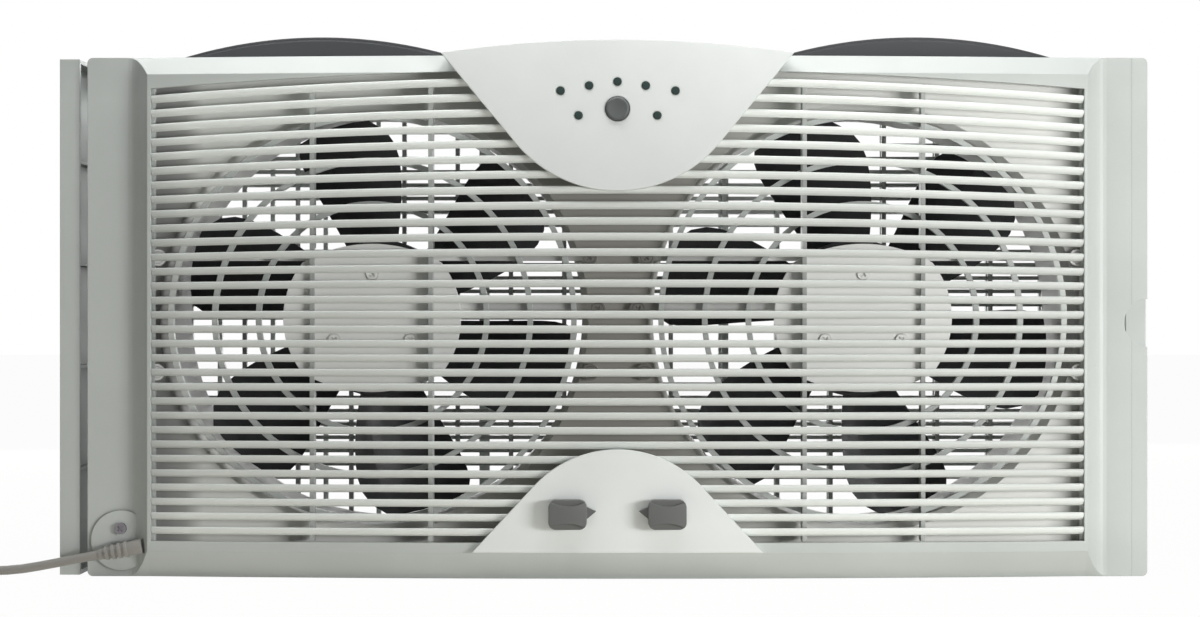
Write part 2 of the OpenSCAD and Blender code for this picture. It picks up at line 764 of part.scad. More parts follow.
// Feet of a motor mount: two at each side, and one on the deeper arm towards the middle
function foot_spots(s) = concat([for (sx = [-1, 1]) for (z = arm_rows)
    [sx * sqrt(foot_at * foot_at - z * z), z]], [[-s * foot_at, mid_z]]);

module cover_2d(r, flat) {
    intersection() {
        circle(r);
        translate([0, cover_arc - flat]) circle(cover_arc, $fn = 180);
        translate([0, flat - cover_arc]) circle(cover_arc, $fn = 180);
    }
}

module motor_mount(s) {
    translate([s * fan_gap / 2, 0, fan_z]) {
        difference() {
            union() {
                along_y(y_cover, y_cover + cover_t) cover_2d(cover_r, cover_flat);
                y_cyl(cup_r, y_cover + cover_t - eps, y_can1 - 2, 0, 0);
                for (p = foot_spots(s)) let (h = p[1] == mid_z ? mid_h : arm_h) {
                    block(min(0, p[0]), max(0, p[0]), y_arm0, y_arm0 + arm_d, p[1] - h / 2, p[1] + h / 2);
                    y_cyl(foot_r, y_arm0, y_pan, p[0], p[1]);
                }
            }
            y_cyl(can_r, y_can0, y_can1 + 5, 0, 0);
            for (p = foot_spots(s)) {
                y_cyl(screw_r + hole_fit, y_arm0 - 1, y_deck, p[0], p[1]);
                y_cyl(cap_r + hole_fit, y_arm0 - 1, y_foot_screw, p[0], p[1]);
            }
            for (a = can_screws) translate([can_screw_r * cos(a), 0, can_screw_r * sin(a)]) {
                y_cyl(screw_r + hole_fit, y_cover - 1, y_can0 + 1);
                y_cyl(cap_r + hole_fit, y_cover - 1, y_motor_screw);
            }
        }
    }
}

module motor_mount_left() color(c_cover) motor_mount(-1);
module motor_mount_right() color(c_cover) motor_mount(1);

module motor_can(s) {
    translate([s * fan_gap / 2, 0, fan_z]) difference() {
        y_cyl(can_r, y_can0, y_can1, 0, 0);
        y_cyl(can_r - can_t, y_can0 + can_t, y_can1 - can_t, 0, 0);
        y_cyl(bush_r, y_can1 - can_t - 1, y_can1 + 1, 0, 0);
        for (a = can_screws) y_cyl(screw_r, y_can0 - 1, y_can0 + can_t + 1, can_screw_r * cos(a),
            can_screw_r * sin(a));
        for (a = [0:45:315]) y_cyl(3, y_can1 - can_t - 1, y_can1 + 1, 20 * cos(a), 20 * sin(a));
    }
    // seat of the front bushing
    translate([s * fan_gap / 2, 0, fan_z]) difference() {
        y_cyl(bush_r + 1.6, y_can0 + can_t - eps, y_can0 + can_t + bush_len, 0, 0);
        y_cyl(bush_r, y_can0 + can_t, y_can0 + can_t + bush_len + 1, 0, 0);
    }
}

module motor_can_left() color(c_metal) motor_can(-1);
module motor_can_right() color(c_metal) motor_can(1);

// Stator: laminated ring with four wound poles
module stator(s) {
    y0 = y_can0 + can_t + 7;
    y1 = y_can1 - can_t - 2;
    translate([s * fan_gap / 2, 0, fan_z]) {
        color(c_metal) difference() {
            y_cyl(can_r - can_t, y0, y1, 0, 0);
            y_cyl(25, y0 - 1, y1 + 1, 0, 0);
        }
        for (a = [45:90:315]) rotate([0, a, 0]) {
            color(c_metal) intersection() {
                block(17, 26, y0, y1, -4, 4);
                difference() {
                    y_cyl(25.5, y0, y1, 0, 0);
                    y_cyl(18, y0 - 1, y1 + 1, 0, 0);
                }
            }
            color(c_copper) difference() {
                block(19.5, 23.5, y0 - 2.5, y1 + 1.5, -7, 7);
                block(19, 24, y0, y1, -4, 4);
            }
        }
    }
}

module stator_left() stator(-1);
module stator_right() stator(1);

module bushings(s) {
    translate([s * fan_gap / 2, 0, fan_z]) for (y = [y_can0 + can_t, y_can1 - can_t - 4.6]) difference() {
        y_cyl(bush_r, y, y + bush_len, 0, 0);
        y_cyl(shaft_r + play, y - 1, y + bush_len + 1, 0, 0);
    }
}

module bushings_left() color(c_brass) bushings(-1);
module bushings_right() color(c_brass) bushings(1);

module motor_shaft(s) {
    translate([s * fan_gap / 2, 0, fan_z]) {
        y_cyl(shaft_r, y_can0 + can_t + 0.6, shaft_end, 0, 0);
        y_cyl(17.2, y_can0 + can_t + bush_len + 1, y_can1 - can_t - 5.2, 0, 0);
    }
}

module motor_shaft_left() color(c_metal) motor_shaft(-1);
module motor_shaft_right() color(c_metal) motor_shaft(1);

// Blade: a cambered, twisted sheet between a leading and a trailing edge that sweep with radius
blade_rows = 9;
blade_cols = 6;
function mixed(a, b, t) = a + (b - a) * t;
function blade_radius(i) = let (t = i / (blade_rows - 1))
    mixed(hub_r - 1.6, tip_r, 1 - (1 - t) * (1 - 0.35 * t));
function blade_angle(t, u) = let (round_off = 7 * pow(t, 6))
    mixed(mixed(-21, -11, t) + round_off, mixed(21, 23, t) - round_off * 0.6, u);
function blade_depth(r, t, u) = let (chord = r * (mixed(42, 34, t)) * PI / 180)
    chord * tan(mixed(pitch_hub, pitch_tip, t)) * (u - 0.5) - 0.07 * chord * (1 - pow(2 * u - 1, 2));
function blade_point(i, j, d) = let (t = i / (blade_rows - 1), u = j / (blade_cols - 1),
    r = blade_radius(i), a = 90 + blade_angle(t, u), e = (j == 0 || j == blade_cols - 1) ? 0.4 : 1)
    [r * cos(a), blade_depth(r, t, u) + d * e * blade_t / 2, r * sin(a)];

module blade() {
    n = blade_rows * blade_cols;
    pts = [for (d = [-1, 1]) for (i = [0:blade_rows - 1]) for (j = [0:blade_cols - 1]) blade_point(i, j, d)];
    function at(d, i, j) = d * n + i * blade_cols + j;
    skin = [for (i = [0:blade_rows - 2]) for (j = [0:blade_cols - 2]) each
        [[at(0, i, j), at(0, i, j + 1), at(0, i + 1, j + 1)],
        [at(0, i, j), at(0, i + 1, j + 1), at(0, i + 1, j)],
        [at(1, i, j), at(1, i + 1, j + 1), at(1, i, j + 1)],
        [at(1, i, j), at(1, i + 1, j), at(1, i + 1, j + 1)]]];
    ends = [for (j = [0:blade_cols - 2]) each
        [[at(0, 0, j), at(1, 0, j + 1), at(0, 0, j + 1)], [at(0, 0, j), at(1, 0, j), at(1, 0, j + 1)],
        [at(0, blade_rows - 1, j), at(0, blade_rows - 1, j + 1), at(1, blade_rows - 1, j + 1)],
        [at(0, blade_rows - 1, j), at(1, blade_rows - 1, j + 1), at(1, blade_rows - 1, j)]]];
    edges = [for (i = [0:blade_rows - 2]) each
        [[at(0, i, 0), at(0, i + 1, 0), at(1, i + 1, 0)], [at(0, i, 0), at(1, i + 1, 0), at(1, i, 0)],
        [at(0, i, blade_cols - 1), at(1, i + 1, blade_cols - 1), at(0, i + 1, blade_cols - 1)],
        [at(0, i, blade_cols - 1), at(1, i, blade_cols - 1), at(1, i + 1, blade_cols - 1)]]];
    polyhedron(points = pts, faces = concat(skin, ends, edges), convexity = 4);
}

module fan_rotor(s, turn) {
    translate([s * fan_gap / 2, 0, fan_z]) {
        difference() {
            y_cyl(hub_r, y_hub0, y_hub1, 0, 0);
            y_cyl(hub_r - hub_t, y_hub0 - 1, y_hub1 - hub_t, 0, 0);
            y_cyl(shaft_r, y_hub0 - 1, y_hub1 + 1, 0, 0);
        }
        difference() {
            union() {
                y_cyl(boss_r, y_hub0 + 4, y_hub1 - hub_t + eps, 0, 0);
                for (a = [0:60:300]) rotate([0, a, 0])
                    block(boss_r - 1, hub_r - hub_t + 0.5, y_hub1 - 9, y_hub1 - hub_t + eps, -0.8, 0.8);
            }
            y_cyl(shaft_r, y_hub0 - 1, y_hub1 + 1, 0, 0);
        }
        for (k = [0:blade_n - 1]) rotate([0, -k * 360 / blade_n - turn, 0])
            translate([0, blade_y, 0]) blade();
    }
}

module fan_rotor_left() color(c_dark) fan_rotor(-1, 7);
module fan_rotor_right() color(c_dark) fan_rotor(1, 11);

module rotor_nut(s) {
    translate([s * fan_gap / 2, 0, fan_z]) difference() {
        union() {
            y_cyl(9, y_hub1, y_hub1 + 2, 0, 0);
            translate([0, y_hub1 + nut_len, 0]) rotate([90, 0, 0]) cylinder(r = 8, h = nut_len - 1, $fn = 6);
        }
        y_cyl(shaft_r, y_hub1 - 1, y_hub1 + nut_len + 1, 0, 0);
    }
}

module rotor_nut_left() color(c_grip) rotor_nut(-1);
module rotor_nut_right() color(c_grip) rotor_nut(1);

// ---------- back ----------

handle_screw_spots = [for (s = [-1, 1]) for (sx = [-1, 1]) s * handle_x + sx * (well_half + 14)];
rear_posts = [for (sx = [-1, 1]) for (z = [11, body_h - 11]) [sx * (shell_w / 2 - 9), z]];

module rear_housing() color(c_body) {
    difference() {
        union() {
            along_y(0, rear_d) round_box_2d(shell_w / 2, 0, body_h, 3);
            rail(0, 1);
            rail(body_h, -1);
        }
        along_y(-eps, rear_d - wall) round_box_2d(shell_w / 2 - wall, wall, body_h - wall, 2);
        for (s = [-1, 1]) along_y(rear_d - wall - 1, rear_d + 1) rear_window_2d(s, 0);
        for (s = [-1, 1]) block(s * handle_x - well_half, s * handle_x + well_half, handle_y, well_y1,
            body_h - well_d, body_h + 1);
        for (p = rear_posts) y_cyl(screw_r + hole_fit, rear_d - wall - 1, rear_d + 1, p[0], p[1]);
        for (p = handle_screw_spots) translate([p, handle_y + handle_d / 2, body_h - wall - 1])
            cylinder(r = screw_r + hole_fit, h = wall + 2);
        for (s = [-1, 1]) for (p = grille_screw_spots(s))
            y_cyl(pilot_r, rear_d - wall - 1, rear_d - 0.6, p[0], p[1]);
    }
    difference() {
        for (s = [-1, 1]) block(s * handle_x - well_half - wall, s * handle_x + well_half + wall,
            0.6, well_y1 + wall, body_h - well_d - wall, body_h - wall + eps);
        for (s = [-1, 1]) block(s * handle_x - well_half, s * handle_x + well_half, handle_y, well_y1,
            body_h - well_d, body_h + 1);
    }
    for (p = rear_posts) difference() {
        y_cyl(post_r, eps, rear_d - wall + eps, p[0], p[1]);
        y_cyl(screw_r + hole_fit, -1, rear_d, p[0], p[1]);
    }
}

// Channel along the top or bottom of the back, in which the extender screens slide
module rail(z, s) {
    z1 = z + s * wall;
    z2 = z + s * rail_lip;
    block(-shell_w / 2, shell_w / 2, rear_d - eps, y_back, min(z, z1), max(z, z1));
    block(-shell_w / 2, shell_w / 2, y_back - wall, y_back, min(z, z2), max(z, z2));
}

module rear_window_2d(s, g) {
    x0 = s > 0 ? rear_mid : -rear_half;
    translate([x0 - g, rear_z0 - g]) square([rear_half - rear_mid + 2 * g, rear_z1 - rear_z0 + 2 * g]);
}

// Rear grille: thin level bars at the pitch of the slats, crossed by upright bars and a round frame
module rear_grille(s) {
    y0 = rear_d - 2 * wall - 1;
    y1 = rear_d - wall;
    level_n = floor((rear_z1 - rear_z0) / slat_pitch);
    z0 = fan_z - floor((fan_z - rear_z0) / slat_pitch) * slat_pitch;
    difference() {
        union() {
            along_y(y0, y1) difference() {
                rear_window_2d(s, 6);
                rear_window_2d(s, -1);
            }
            for (k = [0:level_n]) let (z = z0 + k * slat_pitch) if (z > rear_z0 + 1.5 && z < rear_z1 - 1.5)
                block(s > 0 ? rear_mid + fit : -rear_half + fit, s > 0 ? rear_half - fit : -rear_mid - fit,
                    y0 + 0.6, y1 + wall - 0.4, z - 1.1, z + 1.1);
            for (k = [1:bar_n - 1]) block(s * k * bar_pitch - bar_w / 2, s * k * bar_pitch + bar_w / 2,
                y0, y1, rear_z0 - 2, rear_z1 + 2);
        }
        for (p = grille_screw_spots(s)) y_cyl(screw_r + hole_fit, y0 - 1, y1 + 1, p[0], p[1]);
    }
}

function grille_screw_spots(s) = [for (x = [rear_mid - 3, rear_half + 3]) for (z = [rear_z0 - 3, rear_z1 + 3])
    [s * x, z]];

module rear_grille_left() color(c_body) rear_grille(-1);
module rear_grille_right() color(c_body) rear_grille(1);

// ---------- extenders ----------

// Hollow end channel of an extender, open towards the housing
module stile(s, out) {
    mirror([s > 0 ? 0 : 1, 0, 0]) translate([out, 0, 0]) difference() {
        block(stile_x, stile_x + stile_w, y_stile0, y_back, stile_lift, body_h - stile_lift);
        block(stile_x - 1, stile_x + stile_w - wall, y_stile0 + wall, y_back - wall,
            stile_lift + wall, body_h - stile_lift - wall);
    }
    mirror([s > 0 ? 0 : 1, 0, 0]) translate([out, 0, 0]) for (k = [1:4])
        block(stile_x + 3, stile_x + stile_w - wall + eps, y_stile0 + wall - eps, y_screen - 2,
            k * body_h / 5, k * body_h / 5 + 1.6);
}

module stile_left() color(c_body) stile(-1, left_out);
module stile_right() color(c_body) stile(1, 0);

// Lattice that slides in the rails; its bars line up with the rear grille when it is shut
module screen(s, out) {
    x1 = stile_x + stile_w - wall;
    level_n = floor((body_h - 2 * rear_z0) / slat_pitch / 4);
    z0 = fan_z - floor(level_n / 2) * 4 * slat_pitch;
    mirror([s > 0 ? 0 : 1, 0, 0]) translate([out, 0, 0]) {
        for (k = [2:bar_n]) block(k * bar_pitch - bar_w / 2, k * bar_pitch + bar_w / 2, y_screen,
            y_screen + screen_t, screen_z0 + 1, screen_z1 - 1);
        for (z = [screen_z0, screen_z1 - 10])
            block(screen_x0 - 3, x1, y_screen, y_screen + screen_t, z, z + 10);
        for (k = [0:level_n - 1]) block(screen_x0 - 1, x1, y_screen + 1, y_screen + screen_t - 1,
            z0 + k * 4 * slat_pitch - 1.1, z0 + k * 4 * slat_pitch + 1.1);
        block(screen_x0 - 3, screen_x0 + 3, y_screen, y_screen + screen_t, screen_z0, screen_z1);
        block(shell_w / 2 - 6, x1, y_screen, y_screen + screen_t, screen_z0, screen_z1);
    }
}

module screen_left() color(c_body) screen(-1, left_out);
module screen_right() color(c_body) screen(1, 0);

// ---------- handles ----------

// Arched carry handle that spans the finger well in the housing's top
module handle(s) {
    z_mid = body_h + handle_rise - handle_r;
    inner_rise = handle_rise - handle_t;
    in_r = (well_half * well_half + inner_rise * inner_rise) / (2 * inner_rise);
    translate([s * handle_x, 0, 0]) difference() {
        intersection() {
            union() {
                along_y(handle_y + 2, handle_y + handle_d - 2) translate([0, z_mid])
                    circle(handle_r, $fn = fine_fn);
                along_y(handle_y, handle_y + handle_d) translate([0, z_mid])
                    circle(handle_r - 2, $fn = fine_fn);
            }
            block(-handle_half, handle_half, handle_y, handle_y + handle_d, body_h, body_h + 40);
        }
        along_y(handle_y - 1, handle_y + handle_d + 1)
            translate([0, body_h + inner_rise - in_r]) circle(in_r, $fn = fine_fn);
        for (sx = [-1, 1]) translate([sx * (well_half + 14), handle_y + handle_d / 2, body_h - 1])
            cylinder(r = pilot_r, h = 5);
    }
}

module handle_left() color(c_grip) handle(-1);
module handle_right() color(c_grip) handle(1);

// ---------- cord ----------

module strain_relief() color(c_cord) {
    translate([gland_x, gland_y, gland_z]) rotate([0, -90 - gland_dip, 0]) {
        cylinder(r1 = gland_r0, r2 = gland_r1, h = gland_len);
        translate([0, 0, -gland_in]) cylinder(r = gland_r0, h = gland_in);
        for (k = [0:3]) translate([0, 0, 4 + 3.6 * k]) cylinder(r = gland_r0 + 0.5 - 0.2 * k, h = 1.6);
    }
}

module cord_clamp() color(c_metal) screw_fwd(clamp_x, clamp_z, y_border - clamp_proud, y_border + 9);

module power_cord() color(c_cord) tube(cord_route, cord_r, 8);

// Coil: spirals in and out again, and climbs a layer in the half turn where the spiral reverses
function fold(t) = let (m = t % (2 * coil_turns)) m < coil_turns ? coil_turns - m : m - coil_turns;
function ease(x) = let (c = min(1, max(0, x))) c * c * (3 - 2 * c);
function climb(t) = layers < 2 ? 0 : [for (k = [1:layers - 1]) ease((t - k * coil_turns) * 2 + 0.5)]
    * [for (k = [1:layers - 1]) 1];
tail_start = -25;
function tail_lift(b) = (plug_z - coil_z - (layers - 1) * coil_step)
    * ease((b - tail_start) / (tail_deg - tail_start));
function coil_point(t) = let (r = coil_in + coil_step * fold(t), a = 90 + 360 * t)
    [coil_x + r * cos(a), coil_y + r * sin(a),
    coil_z + coil_step * climb(t) + tail_lift((t - turns) * 360)];
tail_a = 90 + 360 * turns;
function tail_point(b) = [coil_x + (coil_out - tail_r) * cos(tail_a) + tail_r * cos(tail_a + b),
    coil_y + (coil_out - tail_r) * sin(tail_a) + tail_r * sin(tail_a + b),
    coil_z + coil_step * (layers - 1) + tail_lift(b)];
coil_n = round(turns * coil_rings);
tail_n = 8;
tail_end = tail_point(tail_deg);
tail_dir = [-sin(tail_a + tail_deg), cos(tail_a + tail_deg), 0];
coil_path = concat([for (i = [0:coil_n - 1]) coil_point(i * turns / coil_n)],
    [for (i = [0:tail_n]) tail_point(i * tail_deg / tail_n)], [tail_end + cord_d * tail_dir]);

module cord_coil() color(c_cord) tube(coil_path, cord_r, 6);

coil_gap = min([for (i = [0:len(coil_path) - 14]) for (j = [i + 12:len(coil_path) - 1])
    norm(coil_path[i] - coil_path[j])]) - cord_d;
coil_length = [for (i = [1:len(coil_path) - 1]) norm(coil_path[i] - coil_path[i - 1])]
    * [for (i = [1:len(coil_path) - 1]) 1];
echo(least_gap_in_coil = coil_gap, coil_length = coil_length);  // cord_coil

// Band round the bundle of turns
module cord_tie() color(c_dark) {
    translate([coil_x, coil_y, 0]) difference() {
        block(-coil_out - cord_r - 1.5, -coil_in + cord_r + 2, -4, 4, 0, coil_top + 1.2);
        block(-coil_out - cord_r - 0.5, -coil_in + cord_r + 1, -5, 5, 1, coil_top + 0.2);
    }
}

module at_plug() {
    translate(tail_end + cord_d * tail_dir) rotate([0, 0, tail_a + tail_deg + 90]) children();
}

module plug_body() color(c_cord) at_plug() {
    rotate([0, 90, 0]) cylinder(r1 = 3.6, r2 = 5.4, h = 9);
    difference() {
        intersection() {
            translate([8, -plug_w / 2, -plug_h / 2]) cube([plug_l - 8, plug_w, plug_h]);
            translate([plug_l - 32, 0, 0]) sphere(r = 32, $fn = 96);
            translate([-6, 0, 0]) rotate([0, 90, 0]) cylinder(r1 = 6, r2 = 19, h = plug_l + 6, $fn = 96);
        }
        for (s = [-1, 1]) translate([plug_l - pin_in, s * pin_x - pin_t / 2, -pin_h / 2])
            cube([pin_in + 2, pin_t, pin_h]);
    }
}

module plug_pins() color(c_brass) at_plug() {
    for (s = [-1, 1]) difference() {
        translate([plug_l - pin_in, s * pin_x - pin_t / 2, -pin_h / 2]) cube([pin_in + 15.9, pin_t, pin_h]);
        translate([plug_l + 12, s * pin_x + 2, 0]) rotate([90, 0, 0]) cylinder(r = 1.5, h = 4);
    }
}

// ---------- screws ----------

module panel_screws() color(c_metal)
    for (p = concat(deck_posts, upper_posts, lower_posts))
        screw_back(p[0], p[1], y_deck - 9, y_deck + deck_t);

module mount_screws() color(c_metal)
    for (s = [-1, 1]) for (p = foot_spots(s))
        screw_fwd(s * fan_gap / 2 + p[0], fan_z + p[1], y_foot_screw, y_pan + foot_len);

module motor_screws() color(c_metal)
    for (s = [-1, 1]) for (a = can_screws)
        screw_fwd(s * fan_gap / 2 + can_screw_r * cos(a), fan_z + can_screw_r * sin(a), y_motor_screw,
            y_can0 + can_t + 1);

module grille_screws() color(c_metal)
    for (s = [-1, 1]) for (p = grille_screw_spots(s)) translate([0, rear_d - 2 * wall - 1, 0])
        screw_fwd(p[0], p[1], 0, wall + 2.6);

module handle_screws() color(c_metal)
    for (p = handle_screw_spots) translate([p, handle_y + handle_d / 2, body_h - wall - cap_h]) {
        cylinder(r = cap_r, h = cap_h);
        cylinder(r = screw_r, h = cap_h + wall + 3.6);
    }

module board_screws() color(c_metal) {
    for (p = board_posts) screw_fwd(p[0], p[1], y_board, y_deck - 2);
    for (sx = [-1, 1]) screw_back(sx * 36, body_h - 36, y_led - 3, y_led + 1.6);
}

module housing_screws() color(c_metal)
    for (p = rear_posts) screw_back(p[0], p[1], -9, rear_d);

front_housing();
front_grille();
upper_panel();
indicator_lenses();
power_button();
display_board();
lower_panel();
knob_left();
knob_right();
rotary_switches();
power_board();
air_deck();
motor_mount_left();
motor_mount_right();
motor_can_left();
motor_can_right();
stator_left();
stator_right();
bushings_left();
bushings_right();
motor_shaft_left();
motor_shaft_right();
fan_rotor_left();
fan_rotor_right();
rotor_nut_left();
rotor_nut_right();
rear_housing();
rear_grille_left();
rear_grille_right();
stile_left();
stile_right();
screen_left();
screen_right();
handle_left();
handle_right();
strain_relief();
cord_clamp();
power_cord();
cord_coil();
cord_tie();
plug_body();
plug_pins();
panel_screws();
mount_screws();
motor_screws();
grille_screws();
handle_screws();
board_screws();
housing_screws();
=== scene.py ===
# Looks for the twin window fan: camera, materials, cord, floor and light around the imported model.
# Metres, +Z up, the slatted front faces -Y.
import math

import bpy
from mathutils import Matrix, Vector


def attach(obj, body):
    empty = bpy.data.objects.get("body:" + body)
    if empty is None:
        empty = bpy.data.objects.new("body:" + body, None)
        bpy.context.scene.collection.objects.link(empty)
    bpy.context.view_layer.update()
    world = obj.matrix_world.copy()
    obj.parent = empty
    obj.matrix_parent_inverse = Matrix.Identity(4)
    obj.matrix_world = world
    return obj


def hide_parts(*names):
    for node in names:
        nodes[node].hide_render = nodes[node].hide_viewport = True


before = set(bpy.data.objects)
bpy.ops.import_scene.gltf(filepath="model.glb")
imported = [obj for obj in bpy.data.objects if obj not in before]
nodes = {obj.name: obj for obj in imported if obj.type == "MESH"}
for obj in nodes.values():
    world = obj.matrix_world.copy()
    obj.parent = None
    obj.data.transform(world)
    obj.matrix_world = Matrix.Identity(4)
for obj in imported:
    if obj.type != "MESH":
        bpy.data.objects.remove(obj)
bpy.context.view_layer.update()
scene = bpy.context.scene

# ---------- camera: focal length and axis in pixels of the photo, places in metres ----------

PHOTO_W, PHOTO_H = 1200, 617
FOCAL_PX = 2182
AXIS_X, AXIS_Y = 617.5, 317
CAMERA = (0, -1.25, 0.1425)
SENSOR = 36

camera_data = bpy.data.cameras.new("camera")
camera_data.sensor_fit = "HORIZONTAL"
camera_data.sensor_width = SENSOR
camera_data.lens = FOCAL_PX / PHOTO_W * SENSOR
camera_data.shift_x = (PHOTO_W / 2 - AXIS_X) / PHOTO_W
camera_data.shift_y = (AXIS_Y - PHOTO_H / 2) / PHOTO_W
camera = bpy.data.objects.new("camera", camera_data)
camera.location = CAMERA
camera.rotation_euler = (math.radians(90), 0, 0)
scene.collection.objects.link(camera)
scene.camera = camera

# ---------- shader nodes ----------


def wire(tree, n, sockets):
    """Fills a node's inputs. sockets are pairs of an input and its value, or the output that it is linked to."""
    for key, value in sockets:
        if isinstance(value, bpy.types.NodeSocket):
            tree.links.new(value, n.inputs[key])
        else:
            n.inputs[key].default_value = value


def add(tree, kind, sockets=(), **settings):
    """A new node with its settings, and its sockets as wire takes them."""
    n = tree.nodes.new(kind)
    for key, value in settings.items():
        setattr(n, key, value)
    wire(tree, n, sockets)
    return n


def calc(tree, operation, *values):
    return add(tree, "ShaderNodeMath", enumerate(values), operation=operation).outputs[0]


def noise(tree, coords, scale, detail=3.0, rough=0.5):
    return add(tree, "ShaderNodeTexNoise", [("Vector", coords), ("Scale", scale), ("Detail", detail),
                                            ("Roughness", rough)]).outputs["Fac"]


def ramp(tree, fac, stops):
    n = add(tree, "ShaderNodeValToRGB", [("Fac", fac)])
    while len(n.color_ramp.elements) < len(stops):
        n.color_ramp.elements.new(0.5)
    for e, (place, color) in zip(n.color_ramp.elements, stops):
        e.position = place
        e.color = (*color, 1)
    return n.outputs["Color"]


def spread(tree, value, low, high, start=0.0, end=1.0, **settings):
    """value from start to end becomes low to high."""
    return add(tree, "ShaderNodeMapRange", [("Value", value), ("From Min", start), ("From Max", end),
                                            ("To Min", low), ("To Max", high)], **settings).outputs["Result"]


def blend(tree, share, first, second):
    """Mix of two colours, all second where share is 1."""
    sockets = [(0, share), (6, first), (7, second)]     # factor and the two colours of an RGBA mix
    return add(tree, "ShaderNodeMix", sockets, data_type="RGBA").outputs[2]


def scaled(tree, color, factor):
    return add(tree, "ShaderNodeVectorMath", [(0, color), ("Scale", factor)], operation="SCALE").outputs[0]


def split(tree, vector):
    return add(tree, "ShaderNodeSeparateXYZ", [(0, vector)]).outputs


def tint(color, factor):
    return tuple(max(0.0, min(1.0, c * factor)) for c in color)


def shade_between_fans_mask(tree, texture, inner, outer):
    """Mask of the painted shade between the fans: 1 on flat faces within inner of the plane between the fans, 0
    beyond outer and on the walls of the ducts.
    """
    away = calc(tree, "ABSOLUTE", split(tree, texture.outputs["Object"])["X"])
    fall = spread(tree, away, 1.0, 0.0, inner, outer, interpolation_type="SMOOTHSTEP")
    flat = calc(tree, "ABSOLUTE", split(tree, texture.outputs["Normal"])["Y"])
    return calc(tree, "MULTIPLY", fall, flat)


PAINTED_LIGHT_SPAN = 0.32    # reach of the painted light and shade tones on both sides of the origin


def painted_light_toned(tree, coords, color, axis, stops):
    """Painted light and shade: the colour times the levels in stops, pairs of place in metres and level up to 2,
    along one axis.
    """
    place = spread(tree, split(tree, coords)[axis], 0.0, 1.0, -PAINTED_LIGHT_SPAN, PAINTED_LIGHT_SPAN)
    half = ramp(tree, place, [((at / PAINTED_LIGHT_SPAN + 1) / 2, (level / 2,) * 3) for at, level in stops])
    product = add(tree, "ShaderNodeVectorMath", [(0, color), (1, half)], operation="MULTIPLY").outputs[0]
    return scaled(tree, product, 2.0)


RIBS = [(0.1016, -0.0655), (0.1664, -0.0623)]   # the grille's upright ribs: distance from the middle, and front
RIB_HALF = 0.0014
# painted shade: share of their colour that the ribs behind the slats keep
RIB_SHADE_LEVEL = 0.6


def shaded_ribs(tree, coords, color):
    """The colour, with painted shade on the ribs behind the slats."""
    place = split(tree, coords)
    away = calc(tree, "ABSOLUTE", place["X"])
    for at, front in RIBS:
        near = calc(tree, "COMPARE", away, at, RIB_HALF)
        behind = calc(tree, "GREATER_THAN", place["Y"], front)
        color = scaled(tree, color, spread(tree, calc(tree, "MULTIPLY", near, behind), 1.0, RIB_SHADE_LEVEL))
    return color


# ---------- materials ----------

CLOUDS, PATCHES = 9.0, 38.0     # noise scales of a plastic's colour and gloss
STREAK_DEPTH = 0.0001           # relief of a metal's streaks, in metres


def empty_material(name):
    m = bpy.data.materials.new(name)
    m.use_nodes = True
    m.node_tree.nodes.clear()
    return m, m.node_tree


def new_material(name):
    m, tree = empty_material(name)
    shader = tree.nodes.new("ShaderNodeBsdfPrincipled")
    add(tree, "ShaderNodeOutputMaterial", [("Surface", shader.outputs["BSDF"])])
    return m, tree, shader


def plastic(name, color, rough=0.42, grain=0.00035, bump=0.10, vary=0.05, edge=0.0006, specular=0.5, coat=0.0,
            middle=None, span=(0.02, 0.15), hollow=0.0, reach=0.03, tones=(), ribs=False):
    """Moulded plastic: cloudy colour, fine spark-eroded grain, uneven gloss and softened edges.

    middle is painted shade, the darker colour that its flat faces get between the fans, and span where that fades
    out; hollow is how much painted shade darkens it in hollows of the size reach; tones are painted light and shade,
    changes of level along an axis; ribs is whether it has painted shade on the ribs behind the slats."""
    m, tree, shader = new_material(name)
    texture = tree.nodes.new("ShaderNodeTexCoord")
    coords = texture.outputs["Object"]
    cloud = noise(tree, coords, CLOUDS, 4.0, 0.55)
    base = ramp(tree, cloud, [(0.32, tint(color, 1 - vary)), (0.68, tint(color, 1 + vary))])
    # painted shade on the flat faces between the fans
    if middle:
        base = blend(tree, shade_between_fans_mask(tree, texture, *span), base, (*middle, 1))
    # painted shade in hollows, from ambient occlusion
    if hollow:
        open_share = add(tree, "ShaderNodeAmbientOcclusion", [("Distance", reach)], samples=6, only_local=True)
        base = blend(tree, open_share.outputs["AO"], (*tint(color, 1 - hollow), 1), base)
    # painted light and shade along the axes
    for axis, stops in tones:
        base = painted_light_toned(tree, coords, base, axis, stops)
    # painted shade on the ribs behind the slats
    if ribs:
        base = shaded_ribs(tree, coords, base)
    gloss = spread(tree, noise(tree, coords, PATCHES, 3.0, 0.6), rough - 0.06, rough + 0.07)
    fine = noise(tree, coords, 1.0 / grain, 2.0, 0.5)
    relief = [("Strength", bump), ("Distance", grain * 0.4), ("Height", fine)]
    if edge:
        relief.append(("Normal", add(tree, "ShaderNodeBevel", [("Radius", edge)], samples=4).outputs["Normal"]))
    normal = add(tree, "ShaderNodeBump", relief).outputs["Normal"]
    wire(tree, shader, [("Base Color", base), ("Roughness", gloss), ("Specular IOR Level", specular),
                        ("Normal", normal)])
    if coat:
        wire(tree, shader, [("Coat Weight", coat), ("Coat Roughness", 0.12)])
    return m


